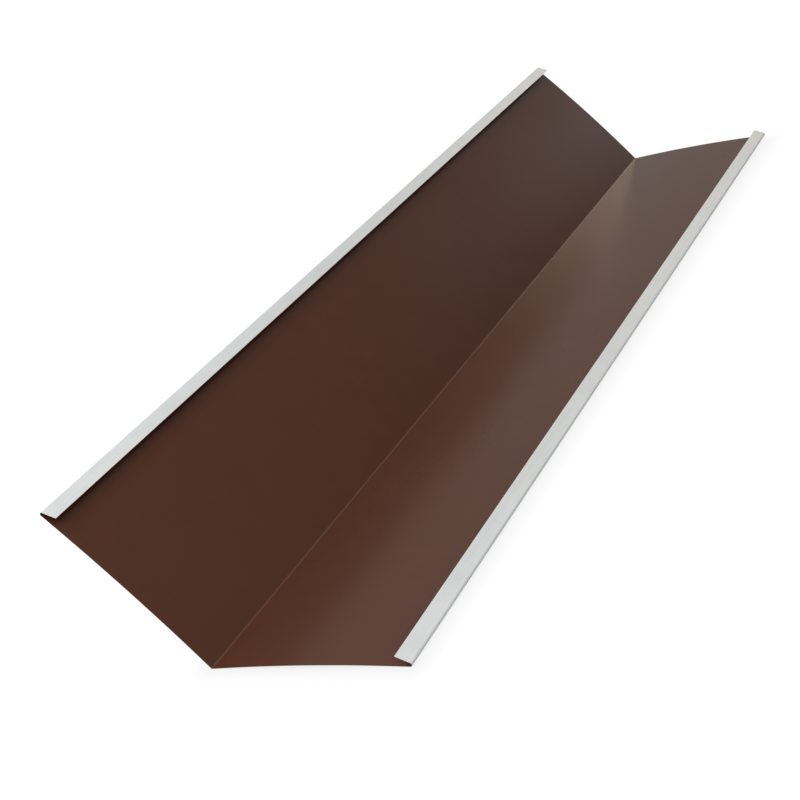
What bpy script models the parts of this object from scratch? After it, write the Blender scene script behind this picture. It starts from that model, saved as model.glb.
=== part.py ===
"""Valley flashing for a pitched roof: one length of colour-coated sheet steel.

The sheet is folded once along its middle, so that its two wings make a valley, and each long edge is
turned over on the painted side as an open hem. It lies as it would on a level floor: the crease and the
hem of the right wing touch the floor, and the left wing stands up. Metres, +Z up, +Y along the valley.
The origin is at the middle of the box that holds it, on the floor.
"""

import math

import bmesh
import bpy

# Sizes of the sheet and its folds, in metres and degrees.
LENGTH = 2.000
WING_WIDTH = 0.310  # from the outside of the crease to the outside of the hem
WING_CROWN = 0.0040  # rise of the wing's middle towards the painted side
SHEET_THICKNESS = 0.0005
BEND_ANGLE = 55.0  # how far one wing turns up out of the plane of the other
CREASE_RADIUS = 0.0020  # inside of the bend
HEM_RADIUS = 0.00275  # inside of the hem's fold
HEM_LIP = 0.0220  # straight part of the turned-over edge
HEM_OPENING = 25.0  # left open between the lip and the wing

# Facets of the bends and of a wing.
CREASE_STEP = 5.0  # degrees
WING_STEPS = 16
HEM_STEP = 7.0  # degrees

OBJECT_NAME = "valley_flashing"
SHEET_NAME = "folded_sheet"


def clear_scene():
    """Removes what the scene holds."""
    for obj in list(bpy.data.objects):
        bpy.data.objects.remove(obj)
    for mesh in list(bpy.data.meshes):
        bpy.data.meshes.remove(mesh)


def coat(name, colour, roughness, metallic=0.0):
    """A finish of one colour, as a Principled BSDF. The colour is linear."""
    material = bpy.data.materials.new(name)
    material.use_nodes = True
    shader = material.node_tree.nodes["Principled BSDF"]
    shader.inputs["Base Color"].default_value = (*colour, 1.0)
    shader.inputs["Roughness"].default_value = roughness
    shader.inputs["Metallic"].default_value = metallic
    return material


class SectionPath:
    """A path through the middle of the sheet's thickness, in the plane across the valley.

    It starts at the crease, heading level to the right, and each call carries it on from where it is.
    """

    def __init__(self):
        self.points = [(0.0, 0.0)]
        self.heading = 0.0

    def line(self, length):
        """Carries on straight."""
        x, z = self.points[-1]
        self.points.append((x + length * math.cos(self.heading), z + length * math.sin(self.heading)))

    def arc(self, radius, turn, steps):
        """Carries on round an arc. The turn is in radians, and positive turns left."""
        centre = self.arc_centre(radius, turn)
        side = math.copysign(1.0, turn)
        start = self.heading
        for step in range(1, steps + 1):
            self.heading = start + turn * step / steps
            self.points.append(
                (
                    centre[0] + side * radius * math.sin(self.heading),
                    centre[1] - side * radius * math.cos(self.heading),
                )
            )
        return centre

    def bow(self, chord, rise, steps):
        """Carries on round a shallow arc that starts off its chord and bends back to the right.

        It is known by its chord and by how far its middle stands off the chord, on the left.
        """
        half_turn = 2 * math.atan(2 * rise / chord)
        if half_turn:
            self.arc(chord / (2 * math.sin(abs(half_turn))), -2 * half_turn, steps)
        else:
            self.line(chord)

    def arc_centre(self, radius, turn):
        """The centre of an arc that leaves the path's end in its own direction."""
        side = math.copysign(1.0, turn)
        x, z = self.points[-1]
        return (x - side * radius * math.sin(self.heading), z + side * radius * math.cos(self.heading))


def half_section():
    """The right half of the section, from the crease to the lip's edge, with the bisector upright.

    Returns the points of the path and the centres of the crease's bend and of the hem's fold.
    """
    half_sheet = SHEET_THICKNESS / 2
    half_bend = math.radians(BEND_ANGLE) / 2
    hem_turn = math.radians(180.0 - HEM_OPENING)
    crease_outside = CREASE_RADIUS + SHEET_THICKNESS
    hem_outside = HEM_RADIUS + SHEET_THICKNESS
    chord = WING_WIDTH - hem_outside - crease_outside * math.tan(half_bend / 2)
    crown_turn = 2 * math.atan(2 * WING_CROWN / chord)

    path = SectionPath()
    crease_turn = half_bend + crown_turn
    crease_steps = math.ceil(math.degrees(crease_turn) / CREASE_STEP)
    crease_centre = path.arc(CREASE_RADIUS + half_sheet, crease_turn, crease_steps)
    path.bow(chord, WING_CROWN, WING_STEPS)
    hem_steps = math.ceil(math.degrees(hem_turn) / HEM_STEP)
    hem_centre = path.arc(HEM_RADIUS + half_sheet, hem_turn, hem_steps)
    path.line(HEM_LIP)
    return path.points, crease_centre, hem_centre


def resting_tilt(crease_centre, hem_centre):
    """The angle, in radians, of a floor that touches the outside of the crease and of the right hem."""
    across = hem_centre[0] - crease_centre[0]
    rise = hem_centre[1] - crease_centre[1]
    return math.atan2(rise, across) - math.asin((HEM_RADIUS - CREASE_RADIUS) / math.hypot(across, rise))


def half_sheet_surface(points):
    """The open surface of one half of the sheet, drawn out along the valley from the half section.

    It is drawn from the far end to the near one, so that its faces point to the painted side.
    """
    mesh = bpy.data.meshes.new(SHEET_NAME)
    surface = bmesh.new()
    corners = [surface.verts.new((x, LENGTH / 2, z)) for x, z in points]
    edges = [surface.edges.new(pair) for pair in zip(corners, corners[1:])]
    drawn = bmesh.ops.extrude_edge_only(surface, edges=edges)
    moved = [item for item in drawn["geom"] if isinstance(item, bmesh.types.BMVert)]
    bmesh.ops.translate(surface, verts=moved, vec=(0.0, -LENGTH, 0.0))
    for face in surface.faces:
        face.smooth = True
    surface.to_mesh(mesh)
    surface.free()
    return mesh


def folded_sheet(collection):
    """The whole sheet: the half surface mirrored about the crease and given its thickness."""
    points, crease_centre, hem_centre = half_section()
    sheet = bpy.data.objects.new(SHEET_NAME, half_sheet_surface(points))
    collection.objects.link(sheet)
    for finish in (
        coat("brown_top_coat", (0.095, 0.031, 0.015), 0.25),
        coat("grey_back_coat", (0.715, 0.735, 0.720), 0.45),
        coat("bare_cut_edge", (0.560, 0.550, 0.540), 0.35, 1.0),
    ):
        sheet.data.materials.append(finish)

    mirror = sheet.modifiers.new("second_wing", "MIRROR")
    mirror.use_axis = (True, False, False)
    mirror.merge_threshold = 0.00001
    wall = sheet.modifiers.new("sheet_thickness", "SOLIDIFY")
    wall.thickness = SHEET_THICKNESS
    wall.offset = 0.0
    wall.use_even_offset = True
    wall.material_offset = 1
    wall.material_offset_rim = 2

    sheet.rotation_euler = (0.0, resting_tilt(crease_centre, hem_centre), 0.0)
    stand_on_floor(sheet)
    return sheet


def stand_on_floor(obj):
    """Moves the object so that the origin is at the middle of its box, at the bottom."""
    bpy.context.view_layer.update()
    shown = obj.evaluated_get(bpy.context.evaluated_depsgraph_get())
    mesh = shown.to_mesh()
    corners = [shown.matrix_world @ vertex.co for vertex in mesh.vertices]
    low = [min(corner[axis] for corner in corners) for axis in range(3)]
    high = [max(corner[axis] for corner in corners) for axis in range(3)]
    shown.to_mesh_clear()
    obj.location.x -= (low[0] + high[0]) / 2
    obj.location.y -= (low[1] + high[1]) / 2
    obj.location.z -= low[2]


def main():
    """Builds the flashing in a collection of its own."""
    clear_scene()
    collection = bpy.data.collections.new(OBJECT_NAME)
    bpy.context.scene.collection.children.link(collection)
    folded_sheet(collection)


main()
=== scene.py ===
"""Looks of the valley flashing: one folded and hemmed length of coil-coated sheet steel.

The sheet is swept along the valley from its section: a crease down the middle, a slightly crowned wing
on each side of it and an open hem along each long edge. It is finished in a satin brown top coat on the
face inside the valley, a light grey back coat on the other face, and bare metal where it was cut.
Metres, +Z up, +Y along the valley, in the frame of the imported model.
"""

import logging
import math
from dataclasses import dataclass
from enum import Enum

import bmesh
import bpy
from mathutils import Matrix, Vector


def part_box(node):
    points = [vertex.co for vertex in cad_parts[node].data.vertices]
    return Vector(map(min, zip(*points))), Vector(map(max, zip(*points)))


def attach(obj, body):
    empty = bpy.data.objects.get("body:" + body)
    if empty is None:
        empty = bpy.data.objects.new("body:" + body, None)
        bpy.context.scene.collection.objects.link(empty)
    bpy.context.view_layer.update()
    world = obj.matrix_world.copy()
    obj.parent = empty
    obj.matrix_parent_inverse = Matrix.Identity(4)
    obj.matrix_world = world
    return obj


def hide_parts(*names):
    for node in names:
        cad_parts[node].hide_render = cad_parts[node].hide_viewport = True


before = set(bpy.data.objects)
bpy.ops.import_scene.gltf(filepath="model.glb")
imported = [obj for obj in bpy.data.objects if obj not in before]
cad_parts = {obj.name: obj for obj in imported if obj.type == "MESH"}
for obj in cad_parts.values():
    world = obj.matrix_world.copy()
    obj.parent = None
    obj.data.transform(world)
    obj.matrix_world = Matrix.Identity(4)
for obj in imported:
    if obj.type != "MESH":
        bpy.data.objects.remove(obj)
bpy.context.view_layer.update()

LOG = logging.getLogger("valley_flashing")

BODY = "root"
CAD_NODE = "folded_sheet"
MM = 0.001

Colour = tuple[float, float, float]
Socket = bpy.types.NodeSocket
Fed = float | int | str | tuple | Socket
Feeds = dict[str | int, Fed]


class Side(Enum):
    """Which face of the sheet a point of the outline is on."""

    PAINTED = 0.0
    BACK = 1.0


class Finish(Enum):
    """The finishes of the sheet, by the name that the sweep gives them."""

    TOP_COAT = "Top Coat"
    BACK_COAT = "Back Coat"
    CUT_EDGE = "Cut Edge"


class Mark(Enum):
    """What is kept on the points of the sheet, for the sweep and for the finishes."""

    ACROSS = "across"
    EDGE_GAP = "edge_gap"
    FREEDOM = "freedom"
    BACK_SIDE = "back_side"
    LIFT = "lift"


class Graph:
    """A node tree, with short ways to add what the trees here use."""

    def __init__(self, tree: bpy.types.NodeTree) -> None:
        """Takes hold of a tree."""
        self.tree = tree
        self.nodes = tree.nodes

    def feed(self, socket: Socket, value: Fed) -> None:
        """Links a socket to another one, or sets it to a constant.

        Args:
            socket: The input.
            value: What feeds it.
        """
        if isinstance(value, Socket):
            self.tree.links.new(value, socket)
        else:
            socket.default_value = value

    def add(self, kind: str, fed: Feeds | None = None, **settings: object) -> bpy.types.Node:
        """Adds a node.

        Args:
            kind: The node's type.
            fed: What feeds its inputs, by name or number.
            **settings: Its properties.

        Returns:
            The node.
        """
        node = self.nodes.new(kind)
        for name, value in settings.items():
            setattr(node, name, value)
        for name, value in (fed or {}).items():
            self.feed(node.inputs[name], value)
        return node

    def maths(self, operation: str, *values: float | Socket) -> Socket:
        """One step of arithmetic, by the operation's name."""
        return self.add("ShaderNodeMath", dict(enumerate(values)), operation=operation).outputs["Value"]

    def vector_maths(self, operation: str, fed: Feeds, result: str = "Vector") -> Socket:
        """One step of arithmetic on vectors, by the operation's name."""
        return self.add("ShaderNodeVectorMath", fed, operation=operation).outputs[result]

    def vector(self, x: float | Socket = 0.0, y: float | Socket = 0.0) -> Socket:
        """A vector from its first two numbers."""
        return self.add("ShaderNodeCombineXYZ", {"X": x, "Y": y}).outputs["Vector"]

    def parts(self, vector: Socket) -> tuple[Socket, Socket, Socket]:
        """The three numbers of a vector."""
        split = self.add("ShaderNodeSeparateXYZ", {"Vector": vector}).outputs
        return split["X"], split["Y"], split["Z"]

    def ramp(
        self, value: Socket, low: float | Socket, high: float | Socket, start: float = 0.0, end: float = 1.0
    ) -> Socket:
        """A number that eases from start to end while a value goes from low to high."""
        fed = {"Value": value, "From Min": low, "From Max": high, "To Min": start, "To Max": end}
        return self.add("ShaderNodeMapRange", fed, interpolation_type="SMOOTHSTEP").outputs["Result"]

    def noise(
        self, place: Socket, size: float | Socket, detail: float = 2.0, stretch: Fed = (1, 1, 1)
    ) -> Socket:
        """Adds a noise.

        Args:
            place: Where it is read, in metres.
            size: How large its spots are, in metres.
            detail: How many finer layers it has.
            stretch: How much denser it is along each axis.

        Returns:
            The noise, about 0.5 on average.
        """
        dense = self.vector_maths("MULTIPLY", {0: place, 1: stretch})
        scale = self.maths("DIVIDE", 1.0, size) if isinstance(size, Socket) else 1.0 / size
        fed = {"Vector": dense, "Scale": scale, "Detail": detail}
        return self.add("ShaderNodeTexNoise", fed).outputs["Fac"]

    def blend(self, share: float | Socket, first: Fed, second: Fed) -> Socket:
        """Mixes two colours.

        Args:
            share: How much of the second colour shows.
            first: The first colour.
            second: The second colour.

        Returns:
            The mixed colour.
        """
        mix = self.add("ShaderNodeMix", data_type="RGBA")
        self.feed(mix.inputs["Factor"], share)
        colours = [socket for socket in mix.inputs if socket.type == "RGBA"]
        self.feed(colours[0], first)
        self.feed(colours[1], second)
        return next(socket for socket in mix.outputs if socket.type == "RGBA")


def placed(name: str, data: bpy.types.ID) -> bpy.types.Object:
    """Puts a mesh, a lamp or a camera in the scene.

    Args:
        name: The object's name.
        data: What it shows.

    Returns:
        The object.
    """
    thing = bpy.data.objects.new(name, data)
    bpy.context.scene.collection.objects.link(thing)
    return thing


@dataclass(frozen=True)
class Station:
    """A place on the middle of the sheet's thickness, in the plane across the valley.

    Args:
        x: Place across the valley.
        z: Height.
        heading: Direction of the path there, in radians.
        across: Distance from the crease, measured along the sheet, negative on the left wing.
        freedom: How free the sheet is to ripple there, from 0 at a bend to 1 in the middle of a wing.
    """

    x: float
    z: float
    heading: float
    across: float
    freedom: float = 0.0

    def mirrored(self) -> "Station":
        """The same place on the other wing, on a path that still runs from left to right."""
        return Station(-self.x, self.z, -self.heading, -self.across, self.freedom)

    def normal(self) -> Vector:
        """The direction to the painted side, as (x, z)."""
        return Vector((-math.sin(self.heading), math.cos(self.heading)))

    def beside(self, offset: float) -> Vector:
        """A point off the path on its painted side, as (x, z)."""
        return Vector((self.x, self.z)) + self.normal() * offset


class SectionPath:
    """Walks along the middle of the sheet's thickness, from the crease to the edge of one hem."""

    def __init__(self) -> None:
        """Starts at the crease, heading level to the right."""
        self.stations = [Station(0.0, 0.0, 0.0, 0.0)]

    def line(self, length: float, steps: int) -> None:
        """Carries on straight.

        Args:
            length: How far.
            steps: In how many stretches.
        """
        start = self.stations[-1]
        ahead = Vector((math.cos(start.heading), math.sin(start.heading)))
        for step in range(1, steps + 1):
            gone = length * step / steps
            spot = Vector((start.x, start.z)) + ahead * gone
            self.stations.append(Station(spot.x, spot.y, start.heading, start.across + gone))

    def arc(self, radius: float, turn: float, steps: int, free: bool = False) -> Vector:
        """Carries on round an arc.

        Args:
            radius: Radius of the arc.
            turn: How far it turns, in radians, positive to the left.
            steps: In how many stretches.
            free: True where the sheet may ripple between the arc's ends.

        Returns:
            The arc's centre, as (x, z).
        """
        start = self.stations[-1]
        side = math.copysign(1.0, turn)
        centre = start.beside(side * radius)
        for step in range(1, steps + 1):
            share = step / steps
            heading = start.heading + turn * share
            self.stations.append(
                Station(
                    centre.x + side * radius * math.sin(heading),
                    centre.y - side * radius * math.cos(heading),
                    heading,
                    start.across + radius * abs(turn) * share,
                    math.sin(math.pi * share) if free else 0.0,
                )
            )
        return centre


@dataclass(frozen=True)
class Section:
    """The section of the sheet, in metres and degrees, as in the solids.

    Args:
        wing_width: From the outside of the crease to the outside of a hem.
        wing_crown: Rise of a wing's middle towards the painted side.
        thickness: Thickness of the coated sheet.
        bend_angle: How far one wing turns up out of the plane of the other.
        crease_radius: Inside of the bend.
        hem_radius: Inside of the hem's fold.
        hem_lip: Straight part of the turned-over edge.
        hem_opening: Left open between the lip and the wing.
        tuck: How far each face is drawn in, so that the finer bends stay within the solids.
        crease_steps: Stretches of half the crease, as the next three are of a wing, a hem and a lip.
    """

    wing_width: float = 310 * MM
    wing_crown: float = 4 * MM
    thickness: float = 0.5 * MM
    bend_angle: float = 55.0
    crease_radius: float = 2 * MM
    hem_radius: float = 2.75 * MM
    hem_lip: float = 22 * MM
    hem_opening: float = 25.0
    tuck: float = 0.003 * MM
    crease_steps: int = 14
    wing_steps: int = 56
    hem_steps: int = 36
    lip_steps: int = 5

    def half(self) -> tuple[list[Station], Vector, Vector]:
        """Walks the right half of the section, with the plane that halves the valley upright.

        Returns:
            The stations, the centre of the crease's bend and the centre of the hem's fold.
        """
        half_bend = math.radians(self.bend_angle) / 2
        hem_turn = math.radians(180.0 - self.hem_opening)
        crease_outside = self.crease_radius + self.thickness
        hem_outside = self.hem_radius + self.thickness
        chord = self.wing_width - hem_outside - crease_outside * math.tan(half_bend / 2)
        crown_turn = 2 * math.atan(2 * self.wing_crown / chord)
        wing_radius = chord / (2 * math.sin(crown_turn))

        path = SectionPath()
        half_sheet = self.thickness / 2
        crease = path.arc(self.crease_radius + half_sheet, half_bend + crown_turn, self.crease_steps)
        path.arc(wing_radius, -2 * crown_turn, self.wing_steps, free=True)
        hem = path.arc(self.hem_radius + half_sheet, hem_turn, self.hem_steps)
        path.line(self.hem_lip, self.lip_steps)
        return path.stations, crease, hem

    def resting_turn(self, crease: Vector, hem: Vector) -> Matrix:
        """The turn that lays the sheet down on its crease and its right hem.

        Args:
            crease: Centre of the crease's bend, as (x, z).
            hem: Centre of the right hem's fold, as (x, z).

        Returns:
            A 2 by 2 matrix for points (x, z).
        """
        span = hem - crease
        rise = self.hem_radius - self.crease_radius
        slope = math.atan2(span.y, span.x) - math.asin(rise / span.length)
        return Matrix.Rotation(-slope, 2)

    def outline(self) -> list[tuple[Vector, Vector, Station, Side]]:
        """The closed outline, along the painted face from the left lip to the right one and back behind.

        Returns:
            For each point its place and the way it ripples, as (x, z) in the frame of the model, its
            station and its side.
        """
        right, crease, hem = self.half()
        turn = self.resting_turn(crease, hem)
        stations = [station.mirrored() for station in reversed(right[1:])] + right
        half = self.thickness / 2 - self.tuck
        ring = [(turn @ station.beside(half), station, Side.PAINTED) for station in stations]
        ring += [(turn @ station.beside(-half), station, Side.BACK) for station in reversed(stations)]
        low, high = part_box(CAD_NODE)
        middle = (min(spot.x for spot, _, _ in ring) + max(spot.x for spot, _, _ in ring)) / 2
        bottom = min(spot.y for spot, _, _ in ring)
        shift = Vector(((low.x + high.x) / 2 - middle, low.z - bottom))
        return [(spot + shift, turn @ station.normal(), station, side) for spot, station, side in ring]

    def mesh(self) -> bpy.types.Mesh:
        """Makes the outline a ring of edges with its marks. The sweep turns its +Y down to -Z.

        Returns:
            The ring.
        """
        ring = self.outline()
        count = len(ring)
        reach = max(station.across for _, _, station, _ in ring)
        mesh = bpy.data.meshes.new("sheet_section")
        corners = [(spot.x, -spot.y, 0.0) for spot, _, _, _ in ring]
        mesh.from_pydata(corners, [(i, (i + 1) % count) for i in range(count)], [])
        marks = {
            Mark.ACROSS: [station.across for _, _, station, _ in ring],
            Mark.EDGE_GAP: [reach - abs(station.across) for _, _, station, _ in ring],
            Mark.FREEDOM: [station.freedom for _, _, station, _ in ring],
            Mark.BACK_SIDE: [side.value for _, _, _, side in ring],
        }
        for mark, values in marks.items():
            mesh.attributes.new(mark.value, "FLOAT", "POINT").data.foreach_set("value", values)
        lifts = [value for _, lift, _, _ in ring for value in (lift.x, 0.0, lift.y)]
        mesh.attributes.new(Mark.LIFT.value, "FLOAT_VECTOR", "POINT").data.foreach_set("vector", lifts)
        return mesh


class SweepTree:
    """The Geometry Nodes tree that draws the section out, with named inputs for sizes and finishes."""

    INPUTS: dict[str, str] = {
        "Section": "NodeSocketGeometry",
        "Start": "NodeSocketFloat",
        "End": "NodeSocketFloat",
        "Length Steps": "NodeSocketInt",
        "Ripple Height": "NodeSocketFloat",
        "Ripple Length": "NodeSocketFloat",
        "Seed": "NodeSocketInt",
    }

    def __init__(self) -> None:
        """Builds the tree."""
        self.tree = bpy.data.node_groups.new("sweep_folded_sheet", "GeometryNodeTree")
        inputs = self.INPUTS | {finish.value: "NodeSocketMaterial" for finish in Finish}
        for name, kind in inputs.items():
            self.tree.interface.new_socket(name, in_out="INPUT", socket_type=kind)
        self.tree.interface.new_socket("Sheet", in_out="OUTPUT", socket_type="NodeSocketGeometry")
        self.graph = Graph(self.tree)
        self.given = self.graph.add("NodeGroupInput").outputs
        rippled = {"Geometry": self.rippled(self.drawn_out())}
        real = self.graph.add("GeometryNodeRealizeInstances", rippled).outputs["Geometry"]
        self.graph.add("NodeGroupOutput", {"Sheet": self.dressed(real)})

    def drawn_out(self) -> Socket:
        """Draws the section out along a straight rail and closes its ends.

        Returns:
            The plain sheet.
        """
        graph, given = self.graph, self.given
        ends = {"Start": graph.vector(y=given["Start"]), "End": graph.vector(y=given["End"])}
        rail = graph.add("GeometryNodeCurvePrimitiveLine", ends).outputs["Curve"]
        count = graph.maths("ADD", given["Length Steps"], 1.0)
        steps = graph.add("GeometryNodeResampleCurve", {"Curve": rail, "Count": count}).outputs["Curve"]
        profile = graph.add("GeometryNodeMeshToCurve", {"Mesh": given["Section"]}).outputs["Curve"]
        fed = {"Curve": steps, "Profile Curve": profile, "Fill Caps": True}
        return graph.add("GeometryNodeCurveToMesh", fed).outputs["Mesh"]

    def rippled(self, drawn: Socket) -> Socket:
        """Gives the wings the faint ripples of thin sheet, none at the crease and the hems.

        Args:
            drawn: The plain sheet.

        Returns:
            The rippled sheet.
        """
        graph, given = self.graph, self.given
        _, along, _ = graph.parts(graph.add("GeometryNodeInputPosition").outputs["Position"])
        flat = graph.vector(self.mark(Mark.ACROSS), along)
        scale = graph.maths("DIVIDE", 1.0, given["Ripple Length"])
        fed = {"Vector": flat, "W": given["Seed"], "Scale": scale, "Detail": 1.0}
        noise = graph.add("ShaderNodeTexNoise", fed, noise_dimensions="4D").outputs["Fac"]
        swing = graph.maths("MULTIPLY_ADD", noise, 2.0, -1.0)
        free = graph.maths("MULTIPLY", swing, self.mark(Mark.FREEDOM))
        height = graph.maths("MULTIPLY", free, given["Ripple Height"])
        offset = graph.vector_maths("SCALE", {0: self.mark(Mark.LIFT), "Scale": height})
        fed = {"Geometry": drawn, "Offset": offset}
        return graph.add("GeometryNodeSetPosition", fed).outputs["Geometry"]

    def dressed(self, sheet: Socket) -> Socket:
        """Gives each face its finish.

        Args:
            sheet: The sheet.

        Returns:
            The dressed sheet.
        """
        graph = self.graph
        half_way, margin = 0.5, 0.4
        _, facing, _ = graph.parts(graph.add("GeometryNodeInputNormal").outputs["Normal"])
        back = self.mark(Mark.BACK_SIDE)
        at_end = graph.maths("GREATER_THAN", graph.maths("ABSOLUTE", facing), half_way)
        on_lip_edge = graph.maths("COMPARE", back, half_way, margin)
        chosen = {
            Finish.TOP_COAT: True,
            Finish.BACK_COAT: graph.maths("GREATER_THAN", back, half_way + margin),
            Finish.CUT_EDGE: graph.maths("MAXIMUM", at_end, on_lip_edge),
        }
        for finish, selection in chosen.items():
            fed = {"Geometry": sheet, "Selection": selection, "Material": self.given[finish.value]}
            sheet = graph.add("GeometryNodeSetMaterial", fed).outputs["Geometry"]
        return sheet

    def mark(self, mark: Mark) -> Socket:
        """Reads a mark of the section's points.

        Args:
            mark: Which one.

        Returns:
            Its value.
        """
        kind = "FLOAT_VECTOR" if mark is Mark.LIFT else "FLOAT"
        named = self.graph.add("GeometryNodeInputNamedAttribute", {"Name": mark.value}, data_type=kind)
        return named.outputs["Attribute"]


@dataclass(frozen=True)
class FoldedSheet:
    """The whole flashing: one sheet, creased, crowned and hemmed.

    Args:
        section: Its section.
        length_steps: Stretches along the valley.
        ripple_height: Height of the thin sheet's own ripples.
        ripple_length: Distance from ripple to ripple.
        seed: Which ripples it gets.
        edge_break: Width of the broken corner along a cut edge.
        sharp_angle: Corners above this many degrees are shaded sharp.
    """

    section: Section = Section()
    length_steps: int = 80
    ripple_height: float = 0.25 * MM
    ripple_length: float = 420 * MM
    seed: int = 7
    edge_break: float = 0.06 * MM
    sharp_angle: float = 30.0

    def build(self, finishes: dict[Finish, bpy.types.Material]) -> bpy.types.Object:
        """Draws the sheet out and makes it a plain mesh.

        Args:
            finishes: The sheet's materials.

        Returns:
            The finished sheet, in its place.
        """
        low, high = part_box(CAD_NODE)
        source = placed("sheet_section", self.section.mesh())
        modifier = source.modifiers.new("sweep", "NODES")
        modifier.node_group = SweepTree().tree
        values = {
            "Start": low.y,
            "End": high.y,
            "Length Steps": self.length_steps,
            "Ripple Height": self.ripple_height,
            "Ripple Length": self.ripple_length,
            "Seed": self.seed,
        }
        values.update({finish.value: material for finish, material in finishes.items()})
        for item in modifier.node_group.interface.items_tree:
            if item.name in values:
                modifier[item.identifier] = values[item.name]
        self.break_cut_edges(source)

        depsgraph = bpy.context.evaluated_depsgraph_get()
        mesh = bpy.data.meshes.new_from_object(source.evaluated_get(depsgraph))
        bpy.data.objects.remove(source)
        mesh.name = "coated_sheet"
        mesh.shade_smooth()
        mesh.set_sharp_from_angle(angle=math.radians(self.sharp_angle))
        return placed("coated_sheet", mesh)

    def break_cut_edges(self, sheet: bpy.types.Object) -> None:
        """Takes the sharp corner off every cut edge.

        Args:
            sheet: The swept sheet.
        """
        bevel = sheet.modifiers.new("broken_edges", "BEVEL")
        bevel.width = self.edge_break
        bevel.segments = 1
        bevel.limit_method = "ANGLE"
        bevel.angle_limit = math.radians(2 * self.sharp_angle)
        bevel.use_clamp_overlap = False


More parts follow.
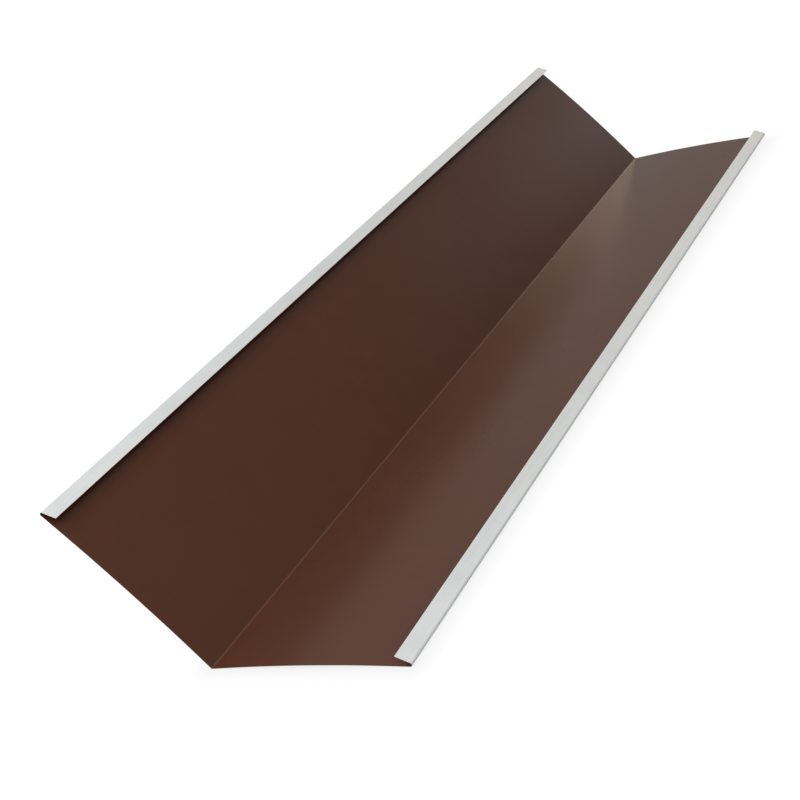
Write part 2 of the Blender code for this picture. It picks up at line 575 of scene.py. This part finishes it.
class SharedEffects:
    """The shader groups that more than one finish uses."""

    COAT_SIZES: tuple[str, ...] = ("Mottle Size", "Streak Width", "Peel Size")
    MARK_SIZES: tuple[str, ...] = ("Grain Size", "Speck Gap", "Scratch Width")

    def __init__(self) -> None:
        """Builds the groups."""
        self.coil_coat = self.build_coil_coat()
        self.handling = self.build_handling()
        self.edge_wear = self.build_edge_wear()

    def start(
        self, name: str, inputs: tuple[str, ...], outputs: tuple[str, ...]
    ) -> tuple[Graph, bpy.types.NodeOutputs]:
        """Starts a group that reads a place on the sheet and some numbers.

        Args:
            name: The group's name.
            inputs: The names of its inputs after the place.
            outputs: The names of its outputs, which are numbers.

        Returns:
            The group's graph and its inputs.
        """
        tree = bpy.data.node_groups.new(name, "ShaderNodeTree")
        tree.interface.new_socket("Place", in_out="INPUT", socket_type="NodeSocketVector")
        for label in inputs:
            tree.interface.new_socket(label, in_out="INPUT", socket_type="NodeSocketFloat")
        for label in outputs:
            tree.interface.new_socket(label, in_out="OUTPUT", socket_type="NodeSocketFloat")
        graph = Graph(tree)
        return graph, graph.add("NodeGroupInput").outputs

    def build_coil_coat(self) -> bpy.types.NodeTree:
        """The look of paint that rollers laid on a moving strip.

        Returns:
            A group that gives the tone of the colour, the streaks along the strip and the peel's height.
        """
        graph, given = self.start("coil_coat", self.COAT_SIZES, ("Tone", "Streak", "Peel"))
        fine_share = 0.3
        along_strip = (1.0, 0.004, 1.0)
        broad = graph.noise(given["Place"], given["Mottle Size"], detail=3.0)
        fine = graph.noise(given["Place"], given["Peel Size"], detail=1.0)
        tone = graph.maths("MULTIPLY_ADD", graph.maths("SUBTRACT", fine, broad), fine_share, broad)
        streak = graph.noise(given["Place"], given["Streak Width"], detail=2.0, stretch=along_strip)
        graph.add("NodeGroupOutput", {"Tone": tone, "Streak": streak, "Peel": fine})
        return graph.tree

    def build_handling(self) -> bpy.types.NodeTree:
        """The marks of handling: a film of dust, a few lone specks and hair-fine scratches.

        Returns:
            A group that gives a mask for each.
        """
        graph, given = self.start("handling_marks", self.MARK_SIZES, ("Dust", "Speck", "Scratch"))
        place = given["Place"]
        dusty_size, dusty_from, dusty_to = 250 * MM, 0.42, 0.70
        grain_from, grain_to, film = 0.60, 0.78, 0.2
        speck_least, speck_spread, speck_core = 0.004, 0.008, 0.5
        bare_to, speck_from = 0.6, 0.7
        scratched_size, scratched_from, scratched_to = 150 * MM, 0.55, 0.75
        lean, line_from, line_to = 0.09, 0.68, 0.76
        along_strip = (1.0, 0.006, 1.0)

        settled = graph.ramp(graph.noise(place, dusty_size, detail=3.0), dusty_from, dusty_to)
        grains = graph.ramp(graph.noise(place, given["Grain Size"], detail=4.0), grain_from, grain_to)
        dust = graph.maths("MULTIPLY", settled, graph.maths("MULTIPLY_ADD", grains, 1.0 - film, film))
        density = graph.maths("DIVIDE", 1.0, given["Speck Gap"])
        cells = graph.add("ShaderNodeTexVoronoi", {"Vector": place, "Scale": density}).outputs
        chance, breadth, _ = graph.parts(cells["Color"])
        radius = graph.maths("MULTIPLY_ADD", breadth, speck_spread, speck_least)
        from_middle = graph.maths("DIVIDE", cells["Distance"], radius)
        spot = graph.ramp(from_middle, speck_core, 1.0, start=1.0, end=0.0)
        speck = graph.maths("MULTIPLY", spot, graph.ramp(chance, bare_to, speck_from))
        x, y, _ = graph.parts(place)
        askew = graph.vector(graph.maths("MULTIPLY_ADD", y, lean, x), y)
        lines = graph.noise(askew, given["Scratch Width"], detail=1.0, stretch=along_strip)
        rare = graph.ramp(graph.noise(place, scratched_size), scratched_from, scratched_to)
        scratch = graph.maths("MULTIPLY", graph.ramp(lines, line_from, line_to), rare)
        graph.add("NodeGroupOutput", {"Dust": dust, "Speck": speck, "Scratch": scratch})
        return graph.tree

    def build_edge_wear(self) -> bpy.types.NodeTree:
        """The thin, uneven line along a cut edge where the coat has come away.

        Returns:
            A group that gives a mask of the wear.
        """
        graph, given = self.start("edge_wear", ("Edge Gap", "End Gap", "Reach"), ("Wear",))
        ragged_size, ragged_least, ragged_spread, core = 6 * MM, 0.2, 1.6, 0.5
        gap = graph.maths("MINIMUM", given["Edge Gap"], given["End Gap"])
        uneven = graph.noise(given["Place"], ragged_size, detail=4.0)
        ragged = graph.maths("MULTIPLY_ADD", uneven, ragged_spread, ragged_least)
        reach = graph.maths("MULTIPLY", given["Reach"], ragged)
        near_edge = graph.ramp(graph.maths("DIVIDE", gap, reach), core, 1.0, start=1.0, end=0.0)
        graph.add("NodeGroupOutput", {"Wear": near_edge})
        return graph.tree


class Coating:
    """What the finishes of the sheet have in common."""

    def __init__(self, name: str, effects: SharedEffects) -> None:
        """Starts a material.

        Args:
            name: The material's name.
            effects: The shared shader groups.
        """
        self.material = bpy.data.materials.new(name)
        self.material.use_nodes = True
        self.graph = Graph(self.material.node_tree)
        self.effects = effects
        self.surface = self.graph.nodes["Principled BSDF"].inputs
        self.spot = self.graph.add("ShaderNodeTexCoord").outputs["Object"]
        _, self.along, _ = self.graph.parts(self.spot)
        self.across = self.mark(Mark.ACROSS)
        self.place = self.graph.vector(self.across, self.along)

    def mark(self, mark: Mark) -> Socket:
        """Reads a mark of the sheet's points."""
        return self.graph.add("ShaderNodeAttribute", attribute_name=mark.value).outputs["Fac"]

    def effect(self, tree: bpy.types.NodeTree, fed: Feeds) -> bpy.types.NodeOutputs:
        """Places a shared group and feeds its inputs besides the place on the sheet."""
        return self.graph.add("ShaderNodeGroup", {"Place": self.place, **fed}, node_tree=tree).outputs

    def wear(self, reach: float) -> Socket:
        """The wear along the cut edges.

        Args:
            reach: How far in from the cut it goes.

        Returns:
            Its mask.
        """
        low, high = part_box(CAD_NODE)
        from_middle = self.graph.maths("ABSOLUTE", self.along)
        end_gap = self.graph.maths("SUBTRACT", (high.y - low.y) / 2, from_middle)
        fed = {"Edge Gap": self.mark(Mark.EDGE_GAP), "End Gap": end_gap, "Reach": reach}
        return self.effect(self.effects.edge_wear, fed)["Wear"]

    def uneven(self, middle: float, *swings: tuple[Socket, float]) -> Socket:
        """A number that varies about its middle with some masks.

        Args:
            middle: Its value where every mask is at 0.5.
            *swings: Each mask, and how far the number goes while the mask goes from 0 to 1.

        Returns:
            The number.
        """
        value = middle - sum(swing for _, swing in swings) / 2
        for mask, swing in swings:
            value = self.graph.maths("MULTIPLY_ADD", mask, swing, value)
        return value

    def stain(self, colour: Fed, stain: Colour, mask: Socket, share: float) -> Socket:
        """A colour with another one laid over it, as far as a mask and a share of it let through."""
        return self.graph.blend(self.graph.maths("MULTIPLY", mask, share), colour, (*stain, 1))

    def relief(self, height: Socket, depth: float) -> None:
        """Gives the surface a relief, from its height between 0 and 1 and its depth in metres."""
        fed = {"Distance": depth, "Height": height}
        self.graph.feed(self.surface["Normal"], self.graph.add("ShaderNodeBump", fed).outputs["Normal"])


@dataclass(frozen=True)
class PaintedCreaseHighlight:
    """A painted highlight: a lighter line along the crease, in place of the light the bend reflects.

    Args:
        colour: The painted highlight's colour.
        width: Half its width.
        wander: How much wider it gets in places.
        spot: Size of those places.
        share: How much of it shows in its middle.
        core: Share of its width that has the full strength.
    """

    colour: Colour = (0.140, 0.058, 0.036)
    width: float = 2.2 * MM
    wander: float = 0.8 * MM
    spot: float = 5 * MM
    share: float = 0.9
    core: float = 0.35

    def lay(self, coat: Coating, colour: Socket) -> Socket:
        """Lays the painted highlight over a coat.

        Args:
            coat: The material in the making.
            colour: Its colour so far.

        Returns:
            The colour with the line.
        """
        graph = coat.graph
        # Painted highlight: a lighter colour along the crease, its width uneven in spots.
        uneven = graph.noise(coat.place, self.spot, detail=3.0)
        reach = graph.maths("MULTIPLY_ADD", uneven, self.wander, self.width)
        off_crease = graph.maths("DIVIDE", graph.maths("ABSOLUTE", coat.across), reach)
        line = graph.ramp(off_crease, self.core, 1.0, start=self.share, end=0.0)
        return graph.blend(line, colour, (*self.colour, 1))


@dataclass(frozen=True)
class CoilCoat:
    """A coat that rollers laid on the strip before it was folded. Colours are linear.

    Args:
        name: The material's name.
        colour: The coat where it is lightest.
        deep: The coat where it is darkest.
        dust: Dust, grime and specks.
        worn: What shows along a cut edge.
        mottle_size: Size of its faint clouds.
        streak_width: Width of its streaks along the strip.
        streak_tone: How much the streaks change its tone.
        tone_range: From its darkest to its lightest tone.
        peel_size: Size of its orange peel.
        peel_depth: Depth of its orange peel.
        grain_size: Size of the grains of dust.
        dust_share: How much the dust covers, where it is thickest.
        scratch_width: Width of the scratches.
        scratch_grime: How much grime the scratches hold, as a multiple of the dust.
        speck_gap: Distance between specks.
        speck_share: How much a speck covers.
        wear_reach: How far in from a cut the coat is worn.
        wear_share: How much of it is worn away there.
        roughness: Its roughness on average.
        rough_swings: What streaks, tone, dust and scratches add to that.
        crease_highlight: The painted highlight along the crease, where it has one.
    """

    name: str
    colour: Colour
    deep: Colour
    dust: Colour
    worn: Colour
    mottle_size: float
    streak_width: float
    streak_tone: float
    tone_range: tuple[float, float]
    peel_size: float
    peel_depth: float
    grain_size: float
    dust_share: float
    scratch_width: float
    scratch_grime: float
    speck_gap: float
    speck_share: float
    wear_reach: float
    wear_share: float
    roughness: float
    rough_swings: tuple[float, float, float, float]
    crease_highlight: PaintedCreaseHighlight | None = None

    def build(self, effects: SharedEffects) -> bpy.types.Material:
        """Makes the material.

        Args:
            effects: The shared shader groups.

        Returns:
            The material.
        """
        coat = Coating(self.name, effects)
        graph = coat.graph
        sizes = (self.mottle_size, self.streak_width, self.peel_size)
        paint = coat.effect(effects.coil_coat, dict(zip(effects.COAT_SIZES, sizes)))
        sizes = (self.grain_size, self.speck_gap, self.scratch_width)
        marks = coat.effect(effects.handling, dict(zip(effects.MARK_SIZES, sizes)))

        middle_tone, cloud_tone = 0.5, 1.2
        tone = coat.uneven(middle_tone, (paint["Tone"], cloud_tone), (paint["Streak"], self.streak_tone))
        colour = graph.blend(graph.ramp(tone, *self.tone_range), (*self.deep, 1), (*self.colour, 1))
        scratched = graph.maths("MULTIPLY", marks["Scratch"], self.scratch_grime)
        grime = graph.maths("MAXIMUM", marks["Dust"], scratched)
        colour = coat.stain(colour, self.dust, grime, self.dust_share)
        colour = coat.stain(colour, self.dust, marks["Speck"], self.speck_share)
        colour = coat.stain(colour, self.worn, coat.wear(self.wear_reach), self.wear_share)
        # Painted highlight along the crease, in place of the light the bend reflects.
        if self.crease_highlight:
            colour = self.crease_highlight.lay(coat, colour)
        graph.feed(coat.surface["Base Color"], colour)

        masks = (paint["Streak"], paint["Tone"], marks["Dust"])
        rough = coat.uneven(self.roughness, *zip(masks, self.rough_swings))
        rough = graph.maths("MULTIPLY_ADD", marks["Scratch"], self.rough_swings[-1], rough)
        graph.feed(coat.surface["Roughness"], rough)
        coat.relief(paint["Peel"], self.peel_depth)
        return coat.material


def top_coat() -> CoilCoat:
    """The satin brown polyester coat of the face inside the valley.

    Returns:
        The coat.
    """
    return CoilCoat(
        name="brown_top_coat",
        colour=(0.1025, 0.0327, 0.0153),
        deep=(0.0946, 0.0302, 0.0141),
        dust=(0.30, 0.25, 0.21),
        worn=(0.20, 0.10, 0.07),
        mottle_size=45 * MM,
        streak_width=3 * MM,
        streak_tone=0.5,
        tone_range=(0.2, 0.8),
        peel_size=1.6 * MM,
        peel_depth=0.0025 * MM,
        grain_size=0.9 * MM,
        dust_share=0.03,
        scratch_width=0.5 * MM,
        scratch_grime=0.0,
        speck_gap=70 * MM,
        speck_share=0.35,
        wear_reach=0.7 * MM,
        wear_share=0.5,
        roughness=0.257,
        rough_swings=(0.03, 0.03, 0.04, 0.05),
        # Painted highlight along the crease.
        crease_highlight=PaintedCreaseHighlight(),
    )


def back_coat() -> CoilCoat:
    """The thin light grey coat of the other face, which shows on the hems.

    Returns:
        The coat.
    """
    return CoilCoat(
        name="grey_back_coat",
        colour=(0.836, 0.870, 0.865),
        deep=(0.756, 0.788, 0.783),
        dust=(0.45, 0.43, 0.40),
        worn=(0.93, 0.86, 0.84),
        mottle_size=50 * MM,
        streak_width=4 * MM,
        streak_tone=0.8,
        tone_range=(0.15, 0.85),
        peel_size=1.1 * MM,
        peel_depth=0.008 * MM,
        grain_size=1.2 * MM,
        dust_share=0.09,
        scratch_width=0.6 * MM,
        scratch_grime=2.0,
        speck_gap=50 * MM,
        speck_share=0.3,
        wear_reach=1.0 * MM,
        wear_share=0.8,
        roughness=0.39,
        rough_swings=(0.06, 0.06, 0.0, 0.0),
    )


@dataclass(frozen=True)
class CutEdge:
    """The bare edge that the shears left: steel between two smeared lines of coat. Colours are linear.

    Args:
        steel: The sheared steel.
        paint: The top coat's line.
        zinc: The zinc on the other side.
        roughness: Its roughness on average.
        rough_swing: How much that varies.
        tear_size: Size of the tears.
        tear_depth: Depth of the tears.
        smear: How far the lines are smeared, as a share of the thickness.
        paint_range: From where to where the paint gives way to steel.
        zinc_range: From where to where the steel gives way to zinc.
    """

    steel: Colour = (0.30, 0.26, 0.24)
    paint: Colour = (0.11, 0.05, 0.03)
    zinc: Colour = (0.66, 0.63, 0.62)
    roughness: float = 0.42
    rough_swing: float = 0.2
    tear_size: float = 0.6 * MM
    tear_depth: float = 0.02 * MM
    smear: float = 0.5
    paint_range: tuple[float, float] = (0.20, 0.40)
    zinc_range: tuple[float, float] = (0.65, 0.90)

    def build(self, effects: SharedEffects) -> bpy.types.Material:
        """Makes the material.

        Args:
            effects: The shared shader groups.

        Returns:
            The material.
        """
        edge = Coating("bare_cut_edge", effects)
        graph = edge.graph
        sheared = graph.noise(edge.spot, self.tear_size, detail=3.0)
        swing = graph.maths("SUBTRACT", sheared, 0.5)
        depth = graph.maths("MULTIPLY_ADD", swing, self.smear, edge.mark(Mark.BACK_SIDE))
        colour = graph.blend(graph.ramp(depth, *self.paint_range), (*self.paint, 1), (*self.steel, 1))
        colour = graph.blend(graph.ramp(depth, *self.zinc_range), colour, (*self.zinc, 1))
        graph.feed(edge.surface["Base Color"], colour)
        graph.feed(edge.surface["Roughness"], edge.uneven(self.roughness, (sheared, self.rough_swing)))
        edge.surface["Metallic"].default_value = 1.0
        edge.relief(sheared, self.tear_depth)
        return edge.material


@dataclass(frozen=True)
class PhotoCamera:
    """The camera of the photo. It looks down along the valley from the near end, and is rolled.

    Args:
        place: Where it stands.
        aim: What it looks at.
        roll: How far it is rolled, in degrees.
        lens: Its focal length in millimetres.
        sensor: Width of its sensor in millimetres.
    """

    place: Vector = Vector((1.2386, -2.4172, 1.0188))
    aim: Vector = Vector((-0.0072, -0.4231, 0.1007))
    roll: float = -18.870
    lens: float = 71.480
    sensor: float = 36.0

    def build(self) -> None:
        """Adds the camera and makes it the scene's."""
        data = bpy.data.cameras.new("photo_camera")
        data.sensor_width = self.sensor
        data.lens = self.lens
        camera = placed("photo_camera", data)
        level = (self.aim - self.place).to_track_quat("-Z", "Y").to_matrix().to_4x4()
        turned = level @ Matrix.Rotation(math.radians(self.roll), 4, "Z")
        camera.matrix_world = Matrix.Translation(self.place) @ turned
        bpy.context.scene.camera = camera


def bearing(azimuth: float, elevation: float, distance: float = 1.0) -> Vector:
    """Finds a place in the studio, as seen from the middle of the flashing.

    Args:
        azimuth: Its direction, in degrees from +Y towards +X.
        elevation: How high it is, in degrees above the floor.
        distance: How far off it is.

    Returns:
        The place.
    """
    turn, lift = math.radians(azimuth), math.radians(elevation)
    way = Vector((math.sin(turn) * math.cos(lift), math.cos(turn) * math.cos(lift), math.sin(lift)))
    return way * distance


@dataclass(frozen=True)
class Lamp:
    """An oval softbox that faces the flashing.

    Args:
        name: Its name.
        place: Where its middle is.
        size: Its width and height.
        glow: How bright its face looks, where 1 is white.
        tint: Its colour.
    """

    name: str
    place: Vector
    size: tuple[float, float]
    glow: float
    tint: Colour = (1.0, 1.0, 1.0)

    def build(self) -> bpy.types.Object:
        """Adds the lamp.

        Returns:
            The lamp.
        """
        data = bpy.data.lights.new(self.name, "AREA")
        data.shape = "ELLIPSE"
        data.size, data.size_y = self.size
        data.energy = self.glow * math.pi * math.pi / 4 * data.size * data.size_y
        data.color = self.tint
        lamp = placed(self.name, data)
        facing = (-self.place).to_track_quat("-Z", "Y").to_matrix().to_4x4()
        lamp.matrix_world = Matrix.Translation(self.place) @ facing
        lamp.visible_camera = False
        return lamp


class Direction:
    """Where on the studio's shell the light comes from, as sockets of its material."""

    def __init__(self, graph: Graph) -> None:
        """Reads it from the shell's own coordinates.

        Args:
            graph: The material's graph.
        """
        self.graph = graph
        spot = graph.add("ShaderNodeTexCoord").outputs["Object"]
        self.way = graph.vector_maths("NORMALIZE", {0: spot})
        x, y, z = graph.parts(self.way)
        self.elevation = graph.maths("DEGREES", graph.maths("ARCSINE", z))
        self.azimuth = graph.maths("DEGREES", graph.maths("ARCTAN2", x, y))

    def tinted(self, level: Socket, red: float, blue: float) -> Socket:
        """Makes a colour of a level.

        Args:
            level: The level, which is the colour's green.
            red: Its red as a share of its green.
            blue: Its blue as a share of its green.

        Returns:
            The colour.
        """
        reddish, bluish = (self.graph.maths("MULTIPLY", level, share) for share in (red, blue))
        fed = {"Red": reddish, "Green": level, "Blue": bluish}
        return self.graph.add("ShaderNodeCombineColor", fed).outputs["Color"]


def shaped(name: str, shape: bmesh.types.BMesh, material: bpy.types.Material) -> bpy.types.Object:
    """Makes an object of the studio from its shape.

    Args:
        name: Its name.
        shape: Its shape, which is freed.
        material: Its material.

    Returns:
        The object.
    """
    mesh = bpy.data.meshes.new(name)
    shape.to_mesh(mesh)
    shape.free()
    mesh.materials.append(material)
    return placed(name, mesh)


def studio_material(name: str) -> tuple[bpy.types.Material, Graph]:
    """Starts a material of the studio, which isn't sampled as a lamp.

    Args:
        name: Its name.

    Returns:
        The material and its empty graph.
    """
    material = bpy.data.materials.new(name)
    material.use_nodes = True
    material.cycles.emission_sampling = "NONE"
    graph = Graph(material.node_tree)
    graph.nodes.clear()
    return material, graph


@dataclass(frozen=True)
class Patch:
    """A round part of the shell, whose level changes from its middle to its rim and stays so beyond.

    Args:
        azimuth: Where its middle is, in degrees from +Y towards +X.
        elevation: How high that is, in degrees.
        reach: Degrees from its middle to its rim.
        middle: Its level in the middle, where 1 is white.
        rim: Its level at the rim.
    """

    azimuth: float
    elevation: float
    reach: float
    middle: float
    rim: float

    def level(self, there: Direction) -> Socket:
        """Adds the nodes for it.

        Args:
            there: Where the light comes from.

        Returns:
            Its level.
        """
        middle = tuple(bearing(self.azimuth, self.elevation))
        along = there.graph.vector_maths("DOT_PRODUCT", {0: there.way, 1: middle}, "Value")
        off = there.graph.maths("DEGREES", there.graph.maths("ARCCOSINE", along))
        return there.graph.ramp(off, 0.0, self.reach, self.middle, self.rim)


@dataclass(frozen=True)
class Backdrop:
    """The lit backdrop that stands low beyond the far end.

    Args:
        glow: How much it adds to the walls' brightness.
        azimuth: Where its middle is, in degrees.
        reach: How far it goes to each side.
        full: Up to this elevation it has its full glow.
        top: From this elevation it has none.
        tint: Its red and blue as shares of its green.
    """

    glow: float = 0.154
    azimuth: float = -14.6
    reach: float = 48.1
    full: float = 21.3
    top: float = 54.7
    tint: tuple[float, float] = (1.06, 0.82)

    def light(self, there: Direction) -> Socket:
        """Adds the nodes for its light.

        Args:
            there: Where the light comes from.

        Returns:
            Its colour.
        """
        graph = there.graph
        aside = graph.maths("ABSOLUTE", graph.maths("SUBTRACT", there.azimuth, self.azimuth))
        sideways = graph.ramp(aside, 0.0, self.reach, self.glow, 0.0)
        upwards = graph.ramp(there.elevation, self.full, self.top, 1.0, 0.0)
        return there.tinted(graph.maths("MULTIPLY", sideways, upwards), *self.tint)


@dataclass(frozen=True)
class StudioShell:
    """The shell that carries the studio's light: walls and ceiling, a backdrop, a card and a flag.

    Args:
        radius: How far off it stands.
        walls: The walls and ceiling, dark beyond the far end, light overhead and behind the camera.
        low: Share of their brightness that is left at floor level.
        backdrop: The backdrop that stands low beyond the far end.
        card: A small white card beside it, which shows in the raised wing's far end.
        card_tint: The card's red and blue as shares of its green.
        flag: A black flag beside the card, which darkens the walls in the raised wing's lower part.
    """

    radius: float = 40.0
    walls: Patch = Patch(azimuth=15.3, elevation=37.1, reach=120.0, middle=0.214, rim=1.33)
    low: float = 0.45
    backdrop: Backdrop = Backdrop()
    card: Patch = Patch(azimuth=19.3, elevation=13.4, reach=7.8, middle=0.64, rim=0.0)
    card_tint: tuple[float, float] = (0.93, 1.00)
    flag: Patch = Patch(azimuth=27.7, elevation=10.2, reach=9.8, middle=0.0, rim=1.0)

    def build(self) -> bpy.types.Object:
        """Adds the shell, which the camera looks through.

        Returns:
            The shell.
        """
        shape = bmesh.new()
        bmesh.ops.create_uvsphere(shape, u_segments=64, v_segments=32, radius=self.radius)
        below = [vertex for vertex in shape.verts if vertex.co.z < -MM]
        bmesh.ops.delete(shape, geom=below, context="VERTS")
        shell = shaped("studio_shell", shape, self.material())
        shell.visible_camera = False
        return shell

    def material(self) -> bpy.types.Material:
        """Makes the shell glow as the studio does.

        Returns:
            The material.
        """
        material, graph = studio_material("studio_shell")
        there = Direction(graph)
        lowered = graph.ramp(there.elevation, 0.0, 90.0, self.low, 1.0)
        walls = graph.maths("MULTIPLY", self.walls.level(there), lowered)
        colour = graph.maths("MULTIPLY", walls, self.flag.level(there))
        card = there.tinted(self.card.level(there), *self.card_tint)
        for extra in (self.backdrop.light(there), card):
            colour = graph.vector_maths("ADD", {0: colour, 1: extra})
        glow = graph.add("ShaderNodeEmission", {"Color": colour}).outputs["Emission"]
        graph.add("ShaderNodeOutputMaterial", {"Surface": glow})
        return material


@dataclass(frozen=True)
class Floor:
    """The white floor, which keeps the flashing's shadow.

    Args:
        radius: How far it goes.
        grey: Its colour, as the flashing's faces see it.
        gain: How bright it looks in the open, where 1 is white.
        shading: How much of the light on it shows, the rest being even white.
        shadow_reach: Beyond this distance it is even white.
        soft_width: Width of the soft shadow round the wing that lies on it.
        soft_near: Share of that width at the near end.
        soft_depth: What that shadow takes of the white where it is deepest.
    """

    radius: float = 40.0
    grey: float = 0.32
    gain: float = 1.06
    shading: float = 0.08
    shadow_reach: float = 4.0
    soft_width: float = 98 * MM
    soft_near: float = 0.75
    soft_depth: float = 0.151

    def build(self) -> bpy.types.Object:
        """Adds the floor.

        Returns:
            The floor.
        """
        shape = bmesh.new()
        bmesh.ops.create_circle(shape, cap_ends=True, segments=64, radius=self.radius)
        return shaped("studio_floor", shape, self.material())

    def material(self) -> bpy.types.Material:
        """Makes the floor white to the camera and to reflections, less the shadow on it.

        Returns:
            The material.
        """
        material, graph = studio_material("studio_floor")
        spot = graph.add("ShaderNodeTexCoord").outputs["Object"]
        distance = graph.vector_maths("LENGTH", {0: spot}, "Value")
        share = graph.ramp(distance, self.shadow_reach / 2, self.shadow_reach, self.shading, 0.0)
        level = self.soft_shadow(graph, spot)
        white = graph.add("ShaderNodeEmission", {"Strength": level}).outputs["Emission"]
        lit = graph.add("ShaderNodeBsdfDiffuse", {"Color": (1, 1, 1, 1)}).outputs["BSDF"]
        seen = graph.add("ShaderNodeMixShader", {0: share, 1: white, 2: lit}).outputs["Shader"]
        plain = graph.add("ShaderNodeBsdfDiffuse", {"Color": (self.grey,) * 3 + (1,)}).outputs["BSDF"]
        ray = graph.add("ShaderNodeLightPath").outputs
        watched = graph.maths("MAXIMUM", ray["Is Camera Ray"], ray["Is Glossy Ray"])
        watched = graph.maths("MAXIMUM", watched, ray["Is Transmission Ray"])
        shown = graph.add("ShaderNodeMixShader", {0: watched, 1: plain, 2: seen}).outputs["Shader"]
        graph.add("ShaderNodeOutputMaterial", {"Surface": shown})
        return material

    def soft_shadow(self, graph: Graph, spot: Socket) -> Socket:
        """The soft shadow round the edges of the wing that lies on the floor.

        Args:
            graph: The material's graph.
            spot: The place on the floor.

        Returns:
            The floor's level of white.
        """
        low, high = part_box(CAD_NODE)
        half = Vector((Section().wing_width, high.y - low.y - self.soft_width / 2)) / 2
        x, y, _ = graph.parts(spot)
        gaps = []
        for place, middle, reach in ((x, high.x - half.x, half.x), (y, low.y + half.y, half.y)):
            off = graph.maths("ABSOLUTE", graph.maths("SUBTRACT", place, middle))
            gaps.append(graph.maths("MAXIMUM", graph.maths("SUBTRACT", off, reach), 0.0))
        gap = graph.vector_maths("LENGTH", {0: graph.vector(*gaps)}, "Value")
        width = graph.ramp(y, low.y, high.y, self.soft_near * self.soft_width, self.soft_width)
        share = graph.maths("MINIMUM", graph.maths("DIVIDE", gap, width), 1.0)
        fading = graph.maths("POWER", graph.maths("SUBTRACT", 1.0, share), 2.0)
        depth = graph.maths("MULTIPLY", fading, self.soft_depth)
        return graph.maths("MULTIPLY", graph.maths("SUBTRACT", 1.0, depth), self.gain)


@dataclass(frozen=True)
class Studio:
    """The plain studio round the flashing.

    Args:
        floor: The floor.
        shell: The walls and what stands before them.
        softbox: The one bright lamp, above and beyond the far end.
        top_lamp: The softbox that hangs over the near end.
    """

    floor: Floor = Floor()
    shell: StudioShell = StudioShell()
    softbox: Lamp = Lamp(
        name="back_softbox",
        place=bearing(azimuth=1.0, elevation=23.3, distance=30.0),
        size=(11.12, 7.686),
        glow=2.39,
        tint=(1.23, 1.0, 0.81),
    )
    top_lamp: Lamp = Lamp(
        name="top_softbox", place=Vector((0.13, -1.83, 1.81)), size=(1.98, 1.98), glow=1.96
    )

    def build(self) -> None:
        """Adds the floor, the walls, the lamps and the white background."""
        self.floor.build()
        self.shell.build()
        self.softbox.build()
        self.top_lamp.build()
        world = bpy.data.worlds.new("white_background")
        world.use_nodes = True
        world.node_tree.nodes["Background"].inputs["Color"].default_value = (1, 1, 1, 1)
        world.cycles.sampling_method = "NONE"
        bpy.context.scene.world = world


def main() -> None:
    """Builds the flashing and its finishes, the studio and the camera."""
    logging.basicConfig(level=logging.INFO, format="%(name)s: %(message)s")
    effects = SharedEffects()
    finishes = {
        Finish.TOP_COAT: top_coat().build(effects),
        Finish.BACK_COAT: back_coat().build(effects),
        Finish.CUT_EDGE: CutEdge().build(effects),
    }
    sheet = FoldedSheet().build(finishes)
    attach(sheet, BODY)
    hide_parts(CAD_NODE)
    faces = len(sheet.data.polygons)
    LOG.info("%s: %d faces, rides on %s, stands for %s", sheet.name, faces, BODY, CAD_NODE)
    Studio().build()
    PhotoCamera().build()
    bpy.context.scene.view_settings.view_transform = "Standard"


if __name__ == "__main__":
    main()
